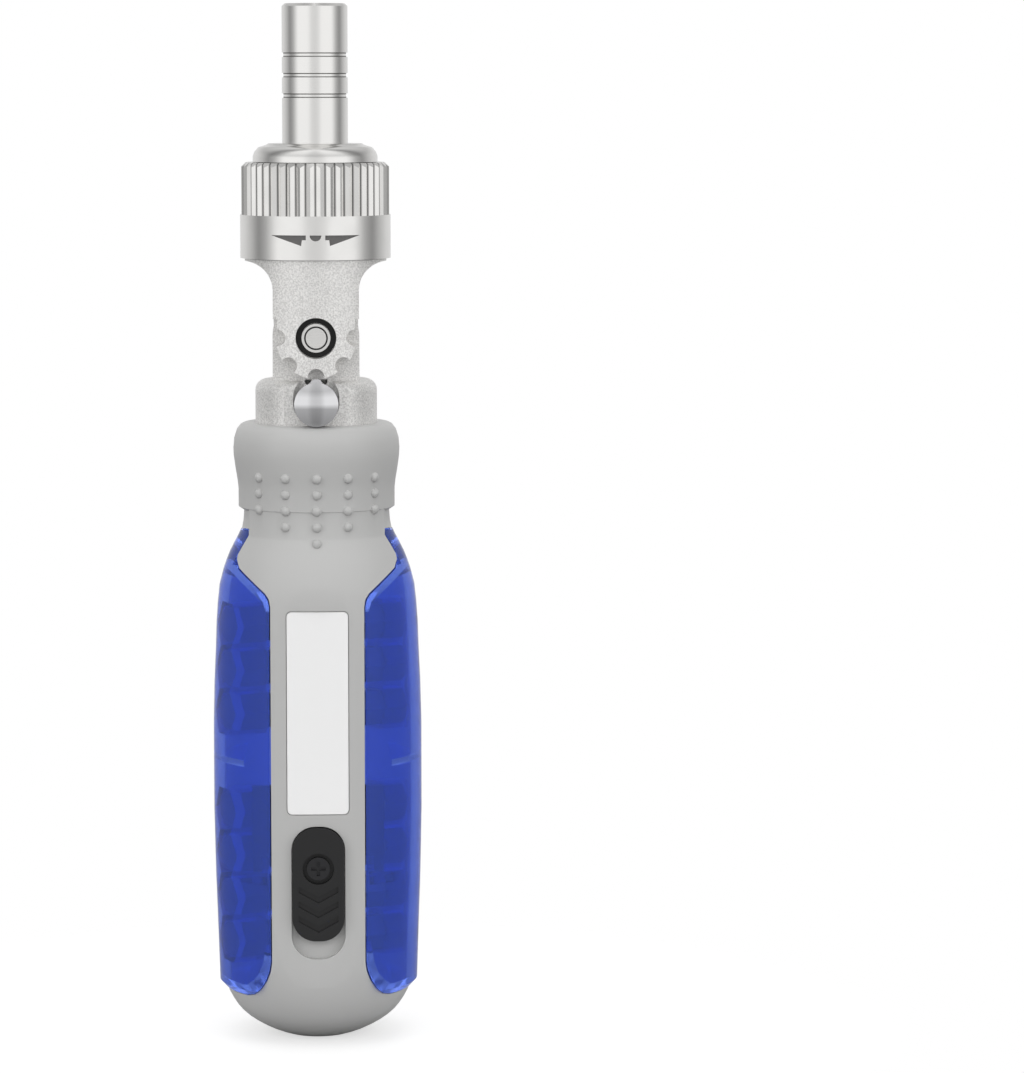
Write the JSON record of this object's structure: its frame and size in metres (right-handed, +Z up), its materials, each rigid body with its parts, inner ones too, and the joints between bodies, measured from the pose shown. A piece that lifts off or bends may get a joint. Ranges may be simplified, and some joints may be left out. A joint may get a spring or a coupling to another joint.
{
  "type": "ratcheting screwdriver",
  "caption": "Ratcheting bit screwdriver with a tilting head, a selector ring, a slide switch and two clear swing-out trays that hold bits in the handle.",
  "frame": {"origin": "centre of the flat foot under the handle's domed end", "axes": "+Z up the tool toward the bit socket, -Y the front with the label, +X to the right seen from the front"},
  "size_m": [0.0384, 0.0363, 0.19],
  "materials": {
    "handle_grey": "satin ABS",
    "label_white": "smooth",
    "switch_black": "satin",
    "latch_black": "satin",
    "tray_blue": "clear tinted",
    "spring_black": "blackened",
    "cast_metal": "shot blasted casting",
    "chrome": "polished",
    "ring_metal": "satin nickel",
    "nickel": "satin nickel",
    "steel": "plain",
    "bit_steel": "gunmetal"
  },
  "bodies": {
    "handle": {"handle_frame": "handle_grey", "label_plate": "label_white", "hinge_pins": "steel", "tray_spring": "spring_black", "yoke": "cast_metal", "yoke_screw": "steel", "detent_spring": "steel"},
    "switch": {"slide_button": "switch_black", "switch_screw": "steel", "latch_plate": "latch_black"},
    "left_tray": {"tray_left": "tray_blue", "bit_cross_small": "bit_steel", "bit_cross_medium": "bit_steel", "bit_cross_large": "bit_steel", "bit_hex_small": "bit_steel", "bit_hex_large": "bit_steel", "bit_fork": "bit_steel", "bit_square": "bit_steel"},
    "right_tray": {"tray_right": "tray_blue", "bit_star": "bit_steel", "bit_star_hole": "bit_steel", "bit_cross_fine": "bit_steel", "bit_cross_long": "bit_steel", "bit_flat_wide": "bit_steel", "bit_flat_medium": "bit_steel", "bit_flat_narrow": "bit_steel"},
    "button": {"detent_button": "chrome"},
    "head": {"pivot_head": "cast_metal", "pivot_screw": "steel", "pivot_nut": "steel", "nose_cap": "nickel", "pawl_pins": "steel", "pawl_spring": "steel"},
    "ring": {"selector_ring": "ring_metal"},
    "left_pawl": {"pawl_left": "steel"},
    "right_pawl": {"pawl_right": "steel"},
    "spindle": {"bit_socket": "nickel", "socket_magnet": "steel", "ratchet_gear": "steel"}
  },
  "joints": [
    {"name": "head_tilt", "type": "hinge", "parent": "handle", "child": "head", "pos_m": [0, 0, 0.1297], "axis": [0, 1, 0], "range_deg": [-90, 90]},
    {"name": "spindle_spin", "type": "hinge", "parent": "head", "child": "spindle", "pos_m": [0, 0, 0.15], "axis": [0, 0, 1], "continuous": true},
    {"name": "selector_turn", "type": "hinge", "parent": "head", "child": "ring", "pos_m": [0, 0, 0.15], "axis": [0, 0, 1], "range_deg": [-18, 18]},
    {"name": "left_pawl_turn", "type": "hinge", "parent": "head", "child": "left_pawl", "pos_m": [-0.0091, 0, 0.15], "axis": [0, 0, 1], "range_deg": [-9, 9]},
    {"name": "right_pawl_turn", "type": "hinge", "parent": "head", "child": "right_pawl", "pos_m": [0.0091, 0, 0.15], "axis": [0, 0, 1], "range_deg": [-9, 9]},
    {"name": "button_slide", "type": "slide", "parent": "handle", "child": "button", "axis": [0, 0, 1], "range_m": [0, 0.001], "stiffness_N_per_m": 300, "springref_m": 0.001, "deforming": ["detent_spring"]},
    {"name": "switch_slide", "type": "slide", "parent": "handle", "child": "switch", "axis": [0, 0, -1], "range_m": [0, 0.0033]},
    {"name": "left_tray_swing", "type": "hinge", "parent": "handle", "child": "left_tray", "pos_m": [-0.0123, 0, 0.09], "axis": [0, 1, 0], "range_deg": [0, 90]},
    {"name": "right_tray_swing", "type": "hinge", "parent": "handle", "child": "right_tray", "pos_m": [0.0123, 0, 0.09], "axis": [0, -1, 0], "range_deg": [0, 90]}
  ],
  "couplings": [
    {"joint": "left_pawl_turn", "follows": "selector_turn", "ratio": -0.5},
    {"joint": "right_pawl_turn", "follows": "selector_turn", "ratio": -0.5}
  ]
}
